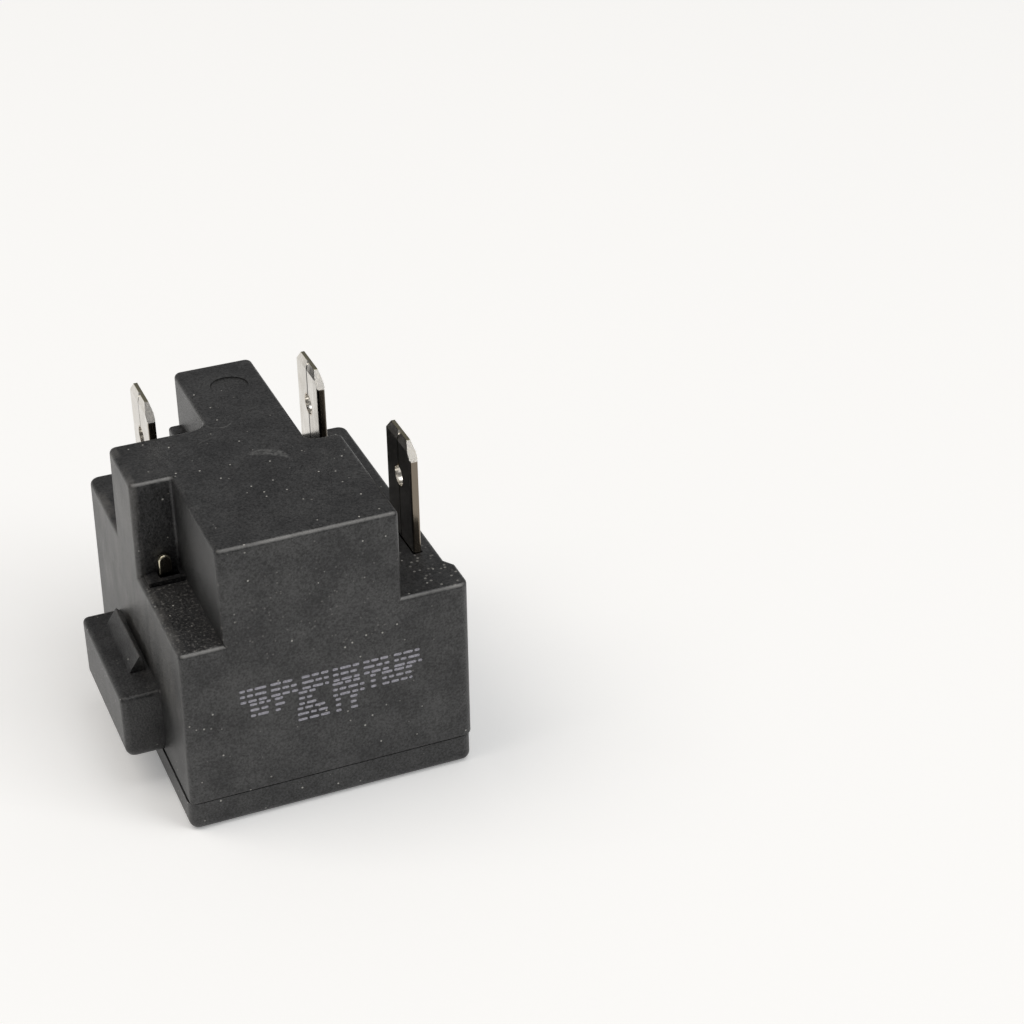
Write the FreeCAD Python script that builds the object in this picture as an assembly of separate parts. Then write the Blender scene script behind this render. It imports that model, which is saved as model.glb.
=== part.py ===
import FreeCAD, Part
import math
import os

from FreeCAD import Vector

# Start relay block for a refrigerator compressor, in millimetres.
# X runs from left to right along the front face, Y from the front to the back, Z up.
# Solids are modelled from the front left bottom corner and moved at the end, so that the
# origin is at the middle of the underside.

# Outside of the housing
block_rise = 9.0
cover_height = 3.1
left_lean = 0.45
front_band_depth = 3.6
front_band_proud = 0.7
corner_radius = 0.5
band_corner_radius = 1.0
block_corner_radius = 0.7
back_corner_radius = 1.0
edge_radius = 0.45
parting_radius = 0.15

# Raised block and tower on top
notch_width = 4.3
notch_depth = 13.8
shoulder_step = 0.7
block_depth = 15.6
tower_proud = 1.0
tower_left_root = 1.7
tower_right_root = 1.2
tower_rib_width = 1.15
tower_rib_thickness = 1.6
tower_rib_rise = 3.65
tower_rib_radius = 0.35
notch_root = 0.3

# Small marks on the housing
pad_depth = 1.7
pad_inset = 0.45
pad_height = 0.25
pad_groove_width = 0.35
pad_groove_depth = 0.3
ejector_diameter = 3.7
ejector_sink = 0.12
ejector_from_back = 4.95
ejector_from_tower_right = 3.55

# Side lug with its barb
lug_reach = 3.6
lug_front = 8.5
lug_length = 15.1
lug_top = 10.15
lug_lower_radius = 1.4
lug_radius = 0.6
barb_foot = 1.8
barb_apex = 0.55
barb_inner_foot = 0.2
barb_height = 1.8
barb_ridge_radius = 0.15
barb_from_front = 3.9
barb_length = 8.8

# Inside of the housing
side_wall = 1.2
top_wall = 1.5
tower_wall = 1.5
partition = 0.7
over_lip = 0.2
roof_room = 2.5
right_room = 4.65
chamber_front_wall = 1.0
contact_passage = 0.9

# Base cover
cover_inset = 0.15
cover_left_proud = 0.1
cover_corner_radius = 0.9
cover_edge_radius = 0.8
cover_plate = 1.6
parting_gap = 0.12
parting_depth = 0.3
lip_thickness = 1.0
lip_height = 1.6
lip_gap = 0.1
catch_length = 8.0
catch_reach = 0.35
catch_gap = 0.05
cradle_thickness = 2.0
cradle_length = 8.0
cradle_seat = 2.6
cradle_rise = 1.6
cradle_gap = 0.03

# Tab terminals, folded from sheet of half this thickness
tab_width = 6.35
tab_thickness = 0.8
tab_rise = 11.2
tab_edge_radius = 0.2
tab_corner_across = 1.3
tab_corner_down = 1.6
tab_rear_corner_across = 1.0
tab_rear_corner_down = 1.2
tab_bevel_down = 0.9
tab_bevel_in = 0.22
tab_hole_diameter = 2.0
tab_hole_from_tip = 4.6
seam_width = 0.12
seam_depth = 0.3
tip_notch_width = 0.6
tip_notch_depth = 0.5
terminal_shoulder = 1.0
shoulder_below_roof = 0.2
slot_gap = 0.08
left_tab_x = 4.7
left_tab_to_block = 1.7
left_tab_to_back = 2.95
middle_tab_to_back = 3.15
right_tab_y = 6.6
right_tab_to_side = 1.4
right_tab_to_block = 3.5

# Test terminal in the notch
test_tip_x = 2.2
test_tip_width = 1.2
test_tip_thickness = 0.6
test_tip_rise = 2.2
test_tip_edge = 0.18
test_slot_gap = 0.12
test_slot_front = 0.38
test_slot_right = 0.6

# Straps and contacts, stood on edge between these heights
bus_foot = 10.2
bus_height = 5.0
strap_sheet = 0.6
contact_sheet = 0.3
contact_foot = 2.0
touch_gap = 0.02

# Pin sockets with their spring clips
pin_diameter = 3.2
socket_sheet = 0.5
socket_split = 0.8
socket_foot = 2.8
socket_seat_gap = 0.03
socket_from_back = 5.8
socket_tail_width = 4.6
socket_tail_drop = 1.0
socket_collar = 0.7
socket_collar_gap = 0.15
left_socket_room = 0.95
right_socket_room = 0.1
pin_hole_diameter = 4.0
pin_lead_in = 0.8
clip_sheet = 0.3
clip_below_tail = 0.9
clip_opening = 2.4

# Start thermistor in its chamber
disc_diameter = 18.0
disc_thickness = 2.5
disc_back_gap = 0.5
disc_edge_radius = 0.15
leaf_room = 0.9
sheet_thickness = 0.2
sheet_gap = 0.05
sheet_below_top = 3.0
wave_count = 3
wave_margin = 2.4

# Triac and pilot thermistor
triac_width = 8.0
triac_thickness = 2.6
triac_edge = 0.4
triac_above_bus = 0.3
triac_below_top = 1.1
triac_plate_thickness = 0.8
triac_plate_margin = 0.8
triac_hole_diameter = 3.2
triac_hole_from_top = 3.2
triac_wall_gap = 0.15
lead_pitch = 2.54
lead_width = 0.8
lead_thickness = 0.5
lead_length = 6.0
lead_inside = 2.0
pilot_diameter = 6.4
pilot_thickness = 1.8
pilot_from_lead = 0.4
pilot_room = 0.5
pilot_strip_margin = 0.6

# Rivets
rivet_diameter = 1.6
rivet_head_diameter = 2.8
rivet_head_height = 0.5
rivet_gap = 0.04

# How far a cutter reaches past what it cuts, and how deep fused shapes sink into each other
past = 1.0
sunk = 0.5

# Heights that several pieces share
bus_top = bus_foot + bus_height
rivet_z = bus_foot + bus_height / 2
roof = bus_top + roof_room
notch_floor = roof + top_wall
shoulder_height = notch_floor + shoulder_step
top_height = shoulder_height + block_rise
top_inside = top_height - top_wall
lip_top = cover_height + lip_height
partition_foot = lip_top + over_lip
tail_foot = bus_foot - socket_tail_drop
clip_foot = lip_top + over_lip
clip_top = tail_foot - clip_below_tail
tab_tip = shoulder_height + tab_rise
triac_foot = bus_top + triac_above_bus
triac_top = top_inside - triac_below_top
disc_height = cover_plate + cradle_seat + disc_diameter / 2

# Places from the left side to the right: the case is built around what it holds
socket_radius = pin_diameter / 2 + socket_sheet
start_pin_x = left_tab_x + tab_thickness + socket_radius
chamber_left = start_pin_x + socket_radius + left_socket_room + partition
disc_left = chamber_left + sheet_gap + sheet_thickness + leaf_room
disc_right = disc_left + disc_thickness
chamber_right = disc_right + leaf_room + sheet_thickness + sheet_gap
tower_left = chamber_left - tower_wall
tower_right = chamber_right + tower_wall
run_pin_x = chamber_right + partition + right_socket_room + socket_radius
middle_tab_x = run_pin_x + socket_radius
right_side = middle_tab_x + tab_thickness + right_room
width = right_side + front_band_proud
right_tab_x = right_side - right_tab_to_side - tab_thickness
block_right = right_tab_x - right_tab_to_block
strap_middle_left = left_tab_x - strap_sheet / 2
run_strap_left = right_tab_x - strap_sheet
block_middle = (notch_width + block_right) / 2
start_contact_x = block_middle - (lead_width + contact_sheet) / 2
gate_contact_x = block_middle + lead_pitch + (lead_width + contact_sheet) / 2
pilot_left = gate_contact_x + contact_sheet / 2 + touch_gap
pilot_right = pilot_left + pilot_thickness

# Places from the front to the back
triac_front = side_wall + triac_wall_gap
triac_body_front = triac_front + triac_plate_thickness
lead_front = triac_body_front + (triac_thickness - lead_thickness) / 2
lead_back = lead_front + lead_thickness
pilot_y = lead_back + pilot_from_lead + pilot_diameter / 2
chamber_front = pilot_y + pilot_diameter / 2 + pilot_room
front_wall_back = chamber_front + chamber_front_wall
rib_front = front_wall_back + contact_passage
disc_y = rib_front + disc_diameter / 2
room_back = rib_front + disc_diameter + disc_back_gap
back = room_back + side_wall
tower_back = back + tower_proud
left_tab_y = back - left_tab_to_back - tab_width
middle_tab_y = back - middle_tab_to_back - tab_width
corner_block_depth = left_tab_y - left_tab_to_block
socket_y = back - socket_from_back


def box(x0, x1, y0, y1, z0, z1):
    """A box between two values on each axis."""
    return Part.makeBox(x1 - x0, y1 - y0, z1 - z0, Vector(x0, y0, z0))


def flat_face(points):
    """A flat face through points given as vectors."""
    return Part.Face(Part.makePolygon(points + [points[0]]))


def plan_prism(points, z0, z1):
    """A prism with the plan outline given as (x, y) pairs."""
    outline = [Vector(x, y, z0) for x, y in points]
    return flat_face(outline).extrude(Vector(0, 0, z1 - z0))


def side_prism(points, y0, y1):
    """A prism with the outline given as (x, z) pairs, running from y0 to y1."""
    outline = [Vector(x, y0, z) for x, z in points]
    return flat_face(outline).extrude(Vector(0, y1 - y0, 0))


def end_prism(points, x0, x1):
    """A prism with the outline given as (y, z) pairs, running from x0 to x1."""
    outline = [Vector(x0, y, z) for y, z in points]
    return flat_face(outline).extrude(Vector(x1 - x0, 0, 0))


def rod_x(radius, x0, x1, y, z):
    """A round rod along X."""
    return Part.makeCylinder(radius, x1 - x0, Vector(x0, y, z), Vector(1, 0, 0))


def rod_y(radius, y0, y1, x, z):
    """A round rod along Y."""
    return Part.makeCylinder(radius, y1 - y0, Vector(x, y0, z), Vector(0, 1, 0))


def rod_z(radius, z0, z1, x, y):
    """A round rod along Z."""
    return Part.makeCylinder(radius, z1 - z0, Vector(x, y, z0))


def run_of(edge):
    """The edge's chord, from its first end to its last."""
    return edge.Vertexes[-1].Point - edge.Vertexes[0].Point


def upright_edges(shape, x, y, reach, low=0.0):
    """Upright edges whose middle is within reach of x and y in plan, and above low."""
    found = []
    for edge in shape.Edges:
        run = run_of(edge)
        if abs(run.z) < 0.5 or math.hypot(run.x, run.y) > 0.2 * abs(run.z):
            continue
        middle = (edge.Vertexes[0].Point + edge.Vertexes[-1].Point) * 0.5
        if math.hypot(middle.x - x, middle.y - y) < reach and middle.z > low:
            found.append(edge)
    return found


def level_edges(shape, z, keep):
    """Edges that lie at height z and whose middle passes the test keep(point)."""
    found = []
    for edge in shape.Edges:
        if any(abs(vertex.Z - z) > 0.001 for vertex in edge.Vertexes):
            continue
        middle = edge.valueAt((edge.FirstParameter + edge.LastParameter) / 2)
        if abs(middle.z - z) < 0.001 and keep(middle):
            found.append(edge)
    return found


def bent_strip(points, sheet, z0, z1):
    """A strip of sheet stood on edge: its plan centre line is given as (x, y) pairs."""
    half = sheet / 2
    left_side = []
    right_side = []
    for i, (x, y) in enumerate(points):
        before = points[max(i - 1, 0)]
        after = points[min(i + 1, len(points) - 1)]
        runs = []
        for a, b in ((before, (x, y)), ((x, y), after)):
            length = math.hypot(b[0] - a[0], b[1] - a[1])
            if length > 0:
                runs.append(((b[0] - a[0]) / length, (b[1] - a[1]) / length))
        first, last = runs[0], runs[-1]
        nx = -(first[1] + last[1])
        ny = first[0] + last[0]
        scale = half / (nx * -first[1] + ny * first[0])
        left_side.append((x + nx * scale, y + ny * scale))
        right_side.append((x - nx * scale, y - ny * scale))
    return plan_prism(left_side + right_side[::-1], z0, z1)


def housing_block():
    """The housing's outside before its steps are cut, with the left side leaning in."""
    slope_end = front_band_depth + 1.5 * front_band_proud
    outline = [
        (-past, 0),
        (width, 0),
        (width, front_band_depth),
        (right_side, slope_end),
        (right_side, back),
        (-past, back),
    ]
    solid = plan_prism(outline, cover_height, top_height)
    leaning = [
        (0, cover_height),
        (left_lean, top_height),
        (-past - sunk, top_height),
        (-past - sunk, cover_height),
    ]
    return solid.cut(side_prism(leaning, -past, back + past))


def rounded_cutter(outline, roots, z0):
    """A cutter from z0 upwards whose upright edges at the places in roots are rounded."""
    cutter = plan_prism(outline, z0, top_height + past)
    for x, y, radius in roots:
        cutter = cutter.makeFillet(radius, upright_edges(cutter, x, y, 0.01))
    return cutter


def side_lug():
    """The lug on the left side, with the barb that a clip snaps over."""
    lug_back = lug_front + lug_length
    lug = box(-lug_reach, side_wall / 2, lug_front, lug_back, cover_height, lug_top)
    ends = upright_edges(lug, -lug_reach, lug_front, 0.01)
    ends += upright_edges(lug, -lug_reach, lug_back, 0.01)
    lug = lug.makeFillet(lug_radius, ends)
    lug = lug.makeFillet(lug_lower_radius, level_edges(lug, cover_height, left_of_wall))
    lug = lug.makeFillet(edge_radius, level_edges(lug, lug_top, left_of_wall))
    barb_front = lug_front + barb_from_front
    outline = [
        (-barb_foot, lug_top - edge_radius),
        (-barb_foot, lug_top),
        (-barb_apex, lug_top + barb_height),
        (-barb_inner_foot, lug_top),
        (-barb_inner_foot, lug_top - edge_radius),
    ]
    barb = side_prism(outline, barb_front, barb_front + barb_length)
    barb = barb.makeFillet(barb_ridge_radius, level_edges(barb, lug_top + barb_height, anywhere))
    return lug.fuse(barb)


def left_of_wall(point):
    """True for points on the lug that stand clear of the housing's wall."""
    return point.x < side_wall / 2 - 0.01


def left_of_tower(point):
    """True for points on the rib's left end."""
    return point.x < tower_left - tower_rib_width + 0.01


def outer_right_rim(point):
    """True on the right shoulder's outer rim, not where the block rises from it."""
    at_front = point.y < corner_radius and point.x > block_right + corner_radius
    at_side = point.x > right_side - back_corner_radius
    at_back = point.y > back - back_corner_radius and point.x > tower_right + 0.1
    return at_front or at_side or at_back


def outer_left_rim(point):
    """True on the left rear shoulder's outer rim."""
    if point.y < corner_block_depth + 0.1:
        return False
    at_side = point.x < left_lean + corner_radius
    return at_side or (point.y > back - back_corner_radius and point.x < tower_left - 0.1)


def outer_notch_rim(point):
    """True on the notch floor's outer rim."""
    if point.x > notch_width or point.y > notch_depth:
        return False
    return point.y < corner_radius or point.x < left_lean + corner_radius


def housing_outside():
    """The stepped outside with tower, side lug and rounded edges."""
    far = width + past
    beyond = tower_back + past
    right_outline = [
        (block_right, -past),
        (far, -past),
        (far, beyond),
        (tower_right, beyond),
        (tower_right, block_depth),
        (block_right, block_depth),
    ]
    right_roots = [
        (tower_right, block_depth, tower_right_root),
        (block_right, block_depth, block_corner_radius),
    ]
    rear_outline = [
        (-past, corner_block_depth),
        (tower_left, corner_block_depth),
        (tower_left, beyond),
        (-past, beyond),
    ]
    rear_roots = [(tower_left, corner_block_depth, tower_left_root)]
    solid = housing_block()
    solid = solid.cut(rounded_cutter(right_outline, right_roots, shoulder_height))
    solid = solid.cut(rounded_cutter(rear_outline, rear_roots, shoulder_height))
    notch_outline = [
        (-past, -past),
        (notch_width, -past),
        (notch_width, notch_depth),
        (-past, notch_depth),
    ]
    notch_roots = [(notch_width, notch_depth, notch_root)]
    solid = solid.cut(rounded_cutter(notch_outline, notch_roots, notch_floor))
    tower = box(tower_left, tower_right, back - sunk, tower_back, cover_height, top_height)
    solid = solid.fuse(tower).removeSplitter()
    uprights = [
        (0, 0, corner_radius, 0),
        (width, 0, band_corner_radius, 0),
        (notch_width, 0, corner_radius, notch_floor),
        (block_right, 0, corner_radius, shoulder_height),
        (left_lean, notch_depth, corner_radius, notch_floor),
        (left_lean, corner_block_depth, block_corner_radius, shoulder_height),
        (right_side, back, back_corner_radius, 0),
        (0, back, back_corner_radius, 0),
        (tower_left, tower_back, block_corner_radius, 0),
        (tower_right, tower_back, block_corner_radius, 0),
    ]
    for x, y, radius, low in uprights:
        solid = solid.makeFillet(radius, upright_edges(solid, x, y, 0.5, low))
    solid = solid.makeFillet(edge_radius, level_edges(solid, top_height, anywhere))
    solid = solid.makeFillet(edge_radius, level_edges(solid, shoulder_height, outer_right_rim))
    solid = solid.makeFillet(edge_radius, level_edges(solid, shoulder_height, outer_left_rim))
    solid = solid.makeFillet(edge_radius, level_edges(solid, notch_floor, outer_notch_rim))
    solid = solid.makeFillet(parting_radius, level_edges(solid, cover_height, anywhere))
    tower_rib = box(
        tower_left - tower_rib_width,
        tower_left + sunk,
        back - tower_rib_thickness,
        back,
        shoulder_height - sunk,
        shoulder_height + tower_rib_rise,
    )
    rib_edges = level_edges(tower_rib, shoulder_height + tower_rib_rise, left_of_tower)
    tower_rib = tower_rib.makeFillet(tower_rib_radius, rib_edges)
    return solid.fuse(tower_rib).fuse(side_lug())


def anywhere(point):
    """True for every point."""
    return True


def housing_rooms():
    """The hollow inside: one low room, and the block, corner and tower above it."""
    low = box(side_wall, right_side - side_wall, side_wall, room_back, 0, roof)
    block_back = block_depth - side_wall
    overlap = roof - sunk
    block_left = notch_width + side_wall
    block_side = block_right - side_wall
    block = box(block_left, block_side, side_wall, block_back, overlap, top_inside)
    corner_front = notch_depth + side_wall
    corner_back = corner_block_depth - side_wall
    corner_left = left_lean + side_wall
    corner = box(corner_left, chamber_left, corner_front, corner_back, overlap, top_inside)
    tower = box(chamber_left, chamber_right, block_back - sunk, room_back, overlap, top_inside)
    return low.fuse([block, corner, tower])


def housing_ribs():
    """The thin inner walls that make the thermistor's chamber."""
    rib_top = top_inside + top_wall / 2
    rib_back = room_back + side_wall / 2
    left = box(chamber_left - partition, chamber_left, chamber_front, rib_back, partition_foot, rib_top)
    right = box(chamber_right, chamber_right + partition, rib_front, rib_back, partition_foot, rib_top)
    wall_left = start_contact_x + contact_sheet
    wall_right = chamber_right + partition
    front = box(wall_left, wall_right, chamber_front, front_wall_back, partition_foot, rib_top)
    return left.fuse([right, front])


def cover_catches(gap):
    """Ridges on the cover's lip, one at each side; with a gap, the grooves for them."""
    catch_y = (back - catch_length) / 2
    middle = cover_height + lip_height / 2
    half = catch_reach + gap
    shapes = []
    for face, way in ((side_wall + lip_gap, -1), (right_side - side_wall - lip_gap, 1)):
        root = face - way * 0.1
        outline = [
            (root, middle - half),
            (face, middle - half),
            (face + way * half, middle),
            (face, middle + half),
            (root, middle + half),
        ]
        shapes.append(side_prism(outline, catch_y - gap, catch_y + catch_length + gap))
    return shapes


def tab_slot(x, y):
    """The slot in a shoulder that a tab comes up through."""
    return box(
        x - slot_gap,
        x + tab_thickness + slot_gap,
        y - slot_gap,
        y + tab_width + slot_gap,
        roof - past,
        shoulder_height + past,
    )


def housing():
    """The moulded case, open underneath, with its slots, pad and sunk mark."""
    solid = housing_outside().cut(housing_rooms()).fuse(housing_ribs())
    pad_front = notch_depth - pad_depth
    pad_top = notch_floor + pad_height
    pad_left = left_lean + pad_inset
    pad = box(pad_left, notch_width + sunk, pad_front, notch_depth + sunk, roof, pad_top)
    groove = box(
        pad_left,
        notch_width,
        pad_front - pad_groove_width,
        pad_front,
        notch_floor - pad_groove_depth,
        notch_floor + past,
    )
    solid = solid.fuse(pad).cut(groove)
    test_slot = box(
        test_tip_x - test_slot_gap,
        test_tip_x + test_tip_width + test_slot_right,
        test_tip_y() - test_slot_front,
        test_tip_y() + test_tip_thickness + test_slot_gap,
        roof - past,
        pad_top + past,
    )
    slots = [
        tab_slot(left_tab_x, left_tab_y),
        tab_slot(middle_tab_x, middle_tab_y),
        tab_slot(right_tab_x, right_tab_y),
        test_slot,
    ]
    mark_x = tower_right - ejector_from_tower_right
    mark_y = tower_back - ejector_from_back
    mark_floor = top_height - ejector_sink
    mark = rod_z(ejector_diameter / 2, mark_floor, top_height + past, mark_x, mark_y)
    return solid.cut(slots + [mark] + cover_catches(catch_gap)).removeSplitter()


def base_cover():
    """The moulded cover with its lip, pin holes, socket collars and thermistor cradle."""
    side = right_side - cover_inset
    slope_end = front_band_depth + 1.5 * front_band_proud
    corners = [
        (-cover_left_proud, cover_inset),
        (width - cover_inset, cover_inset),
        (side, back - cover_inset),
        (-cover_left_proud, back - cover_inset),
    ]
    band = [(width - cover_inset, front_band_depth), (side, slope_end)]
    rim_top = cover_height - parting_gap
    solid = plan_prism(corners[:2] + band + corners[2:], 0, rim_top)
    for x, y in corners:
        solid = solid.makeFillet(cover_corner_radius, upright_edges(solid, x, y, 0.01))
    solid = solid.makeFillet(cover_edge_radius, level_edges(solid, 0, anywhere))
    seat_front = cover_inset + parting_depth
    seat_left = parting_depth - cover_left_proud
    seat_right = side - parting_depth
    parting_seat = box(
        seat_left, seat_right, seat_front, back - seat_front, rim_top - sunk, cover_height
    )
    solid = solid.fuse(parting_seat)
    lip = side_wall + lip_gap
    hollow = lip + lip_thickness
    lip_block = box(lip, right_side - lip, lip, back - lip, cover_plate, lip_top)
    room = box(hollow, right_side - hollow, hollow, back - hollow, cover_plate, lip_top + past)
    solid = solid.fuse([lip_block] + cover_catches(0)).cut(room)
    boss_top = socket_foot - socket_seat_gap
    collar_inside = socket_radius + socket_collar_gap
    hole_radius = pin_hole_diameter / 2
    for x in (start_pin_x, run_pin_x):
        boss = rod_z(collar_inside + socket_collar, cover_plate - sunk, lip_top, x, socket_y)
        bowl = rod_z(collar_inside, boss_top, lip_top + past, x, socket_y)
        hole = rod_z(hole_radius, -past, lip_top, x, socket_y)
        cone_radius = hole_radius + pin_lead_in
        cone = Part.makeCone(cone_radius, hole_radius, pin_lead_in, Vector(x, socket_y, 0))
        solid = solid.fuse(boss).cut([bowl, hole, cone])
    middle = (disc_left + disc_right) / 2
    half = cradle_thickness / 2
    cradle_front = disc_y - cradle_length / 2
    cradle_back = disc_y + cradle_length / 2
    cradle_top = cover_plate + cradle_seat + cradle_rise
    cradle = box(
        middle - half,
        middle + half,
        cradle_front,
        cradle_back,
        cover_plate - sunk,
        cradle_top,
    )
    seat_radius = disc_diameter / 2 + cradle_gap
    seat = rod_x(seat_radius, middle - half - past, middle + half + past, disc_y, disc_height)
    return solid.fuse(cradle.cut(seat)).removeSplitter()


def tab_terminal(x, y, rivet_y=None):
    """A blade folded from sheet, with the wider plate that stops it under the roof."""
    blade_foot = roof - past
    blade = box(x, x + tab_thickness, y, y + tab_width, blade_foot, tab_tip)
    for edge_x in (x, x + tab_thickness):
        for edge_y in (y, y + tab_width):
            blade = blade.makeFillet(tab_edge_radius, upright_edges(blade, edge_x, edge_y, 0.01))
    corners = (
        (y, tab_corner_across, tab_corner_down),
        (y + tab_width, -tab_rear_corner_across, tab_rear_corner_down),
    )
    for edge, across, down in corners:
        corner = [
            (edge - across, tab_tip - 2 * down),
            (edge - across, tab_tip + down),
            (edge + 2 * across, tab_tip + down),
        ]
        blade = blade.cut(end_prism(corner, x - past, x + tab_thickness + past))
    for face, way in ((x, 1), (x + tab_thickness, -1)):
        bevel = [
            (face - way * tab_bevel_in, tab_tip - 2 * tab_bevel_down),
            (face - way * tab_bevel_in, tab_tip + tab_bevel_down),
            (face + way * 2 * tab_bevel_in, tab_tip + tab_bevel_down),
        ]
        blade = blade.cut(side_prism(bevel, y - past, y + tab_width + past))
    middle = y + tab_width / 2
    half = seam_width / 2
    seam = box(x - past, x + seam_depth, middle - half, middle + half, roof, tab_tip + past)
    spread = tip_notch_width / 2
    notch = [
        (middle - 2 * spread, tab_tip + tip_notch_depth),
        (middle + 2 * spread, tab_tip + tip_notch_depth),
        (middle, tab_tip - tip_notch_depth),
    ]
    tip_notch = end_prism(notch, x - past, x + tab_thickness / 2)
    hole_z = tab_tip - tab_hole_from_tip
    hole = rod_x(tab_hole_diameter / 2, x - past, x + tab_thickness + past, middle, hole_z)
    plate_top = roof - shoulder_below_roof
    plate_front = y - terminal_shoulder
    plate_back = y + tab_width + terminal_shoulder
    plate = box(x, x + tab_thickness, plate_front, plate_back, bus_foot, plate_top)
    solid = blade.cut([seam, tip_notch, hole]).fuse(plate)
    if rivet_y is not None:
        solid = solid.cut(rivet_hole(x - past, x + tab_thickness + past, rivet_y))
    return solid.removeSplitter()


def rivet_hole(x0, x1, y):
    """The round hole that a rivet's shank goes through."""
    return rod_x(rivet_diameter / 2 + rivet_gap, x0, x1, y, rivet_z)


def rivet(x0, x1, y):
    """A rivet that holds the sheets between x0 and x1."""
    shank = rod_x(rivet_diameter / 2, x0 - rivet_head_height, x1 + rivet_head_height, y, rivet_z)
    heads = [
        rod_x(rivet_head_diameter / 2, x0 - rivet_head_height, x0, y, rivet_z),
        rod_x(rivet_head_diameter / 2, x1, x1 + rivet_head_height, y, rivet_z),
    ]
    return shank.fuse(heads).removeSplitter()


def test_tip_y():
    """The front face of the test terminal, which stands just before the notch's back wall."""
    return notch_depth - test_slot_gap - test_tip_thickness - touch_gap


def test_terminal():
    """The small strip whose rounded tip stands in the notch."""
    y0 = test_tip_y()
    y1 = y0 + test_tip_thickness
    right = test_tip_x + test_tip_width
    radius = test_tip_width / 2
    tip_z = notch_floor + test_tip_rise - radius
    stem = box(test_tip_x, right, y0, y1, bus_foot, tip_z)
    tip = rod_y(radius, y0, y1, test_tip_x + radius, tip_z)
    blade = stem.fuse(tip).removeSplitter()
    rims = [edge for edge in blade.Edges if edge.Curve.TypeId == "Part::GeomCircle"]
    blade = blade.makeFillet(test_tip_edge, rims)
    foot = box(test_tip_x, left_tab_x - strap_sheet, y0, y1, bus_foot, bus_top)
    return blade.fuse(foot).removeSplitter()


def pin_socket(x, tail_face, way):
    """A rolled sleeve, split along one side, with a flat tail towards tail_face."""
    sleeve = rod_z(socket_radius, socket_foot, bus_foot, x, socket_y)
    bore = rod_z(pin_diameter / 2, socket_foot - past, bus_foot + past, x, socket_y)
    half = socket_split / 2
    split_x = sorted((x, x - way * (socket_radius + past)))
    split = box(
        split_x[0],
        split_x[1],
        socket_y - half,
        socket_y + half,
        socket_foot - past,
        bus_foot + past,
    )
    tail_x = sorted((tail_face, tail_face - way * socket_sheet))
    tail_half = socket_tail_width / 2
    tail = box(tail_x[0], tail_x[1], socket_y - tail_half, socket_y + tail_half, tail_foot, bus_top)
    solid = sleeve.fuse(tail).cut([bore, split])
    return solid.cut(rivet_hole(tail_x[0] - past, tail_x[1] + past, socket_y)).removeSplitter()


def socket_clip(x):
    """The steel spring ring that squeezes a socket onto its pin, open towards the left."""
    inside = socket_radius + touch_gap
    outside = inside + clip_sheet
    foot = clip_foot - past
    head = clip_top + past
    ring = rod_z(outside, clip_foot, clip_top, x, socket_y)
    ring = ring.cut(rod_z(inside, foot, head, x, socket_y))
    half = clip_opening / 2
    return ring.cut(box(x - outside - past, x, socket_y - half, socket_y + half, foot, head))


def start_strap():
    """The strap from the left terminal forward to the triac's first lead."""
    strip_back = left_tab_y + tab_width
    front = lead_back + strap_sheet / 2
    end = block_middle - lead_pitch + lead_width / 2
    path = [(strap_middle_left, strip_back), (strap_middle_left, front), (end, front)]
    solid = bent_strip(path, strap_sheet, bus_foot, bus_top)
    return solid.cut(rivet_hole(left_tab_x - strap_sheet - past, left_tab_x + past, socket_y))


def run_strap():
    """The strap from the middle terminal forward to the right terminal."""
    rear_x = middle_tab_x + tab_thickness + strap_sheet / 2
    front_x = run_strap_left + strap_sheet / 2
    right_back = right_tab_y + tab_width + terminal_shoulder
    step = middle_tab_y - right_back
    path = [
        (rear_x, middle_tab_y + tab_width),
        (rear_x, right_back + step * 0.6),
        (front_x, right_back + step * 0.3),
        (front_x, right_tab_y),
    ]
    solid = bent_strip(path, strap_sheet, bus_foot, bus_top)
    return solid.cut(rivet_hole(rear_x - past, rear_x + past, socket_y))


def wave(near_wall, near_disc):
    """Plan points of a leaf that touches the disc at each crest, from the back forward."""
    points = []
    wave_pitch = (disc_diameter - 2 * wave_margin) / wave_count
    y = disc_y + wave_count * wave_pitch / 2
    for _ in range(wave_count):
        points += [
            (near_wall, y),
            (near_wall, y - 0.2 * wave_pitch),
            (near_disc, y - 0.4 * wave_pitch),
            (near_disc, y - 0.7 * wave_pitch),
        ]
        y -= wave_pitch
    return points + [(near_wall, y + 0.1 * wave_pitch)]


def start_contact():
    """The leaf on the disc's left face, which reaches forward to the triac's middle lead."""
    half = contact_sheet / 2 + touch_gap
    near_wall = chamber_left + sheet_gap + sheet_thickness + half
    path = wave(near_wall, disc_left - half)
    path += [(start_contact_x, rib_front), (start_contact_x, lead_front)]
    return bent_strip(path, contact_sheet, bus_foot, bus_top)


def run_contact():
    """The leaf on the disc's right face, which reaches out to the run strap."""
    half = contact_sheet / 2 + touch_gap
    near_wall = chamber_right - sheet_gap - sheet_thickness - half
    passage = (front_wall_back + rib_front) / 2
    strap_x = run_strap_left - contact_sheet / 2
    path = wave(near_wall, disc_right + half)
    path += [(near_wall, passage), (strap_x, passage), (strap_x, passage + contact_foot)]
    return bent_strip(path, contact_sheet, bus_foot, bus_top)


def insulator(x):
    """A mica sheet that stands in the chamber behind a contact leaf."""
    front = rib_front + sheet_gap
    top = top_inside - sheet_below_top
    return box(x, x + sheet_thickness, front, room_back - sheet_gap, partition_foot, top)


def ptc_disc():
    """The sintered start thermistor, a plain round disc with softened edges."""
    disc = rod_x(disc_diameter / 2, disc_left, disc_right, disc_y, disc_height)
    rims = [edge for edge in disc.Edges if len(edge.Vertexes) == 1]
    return disc.makeFillet(disc_edge_radius, rims)


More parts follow.
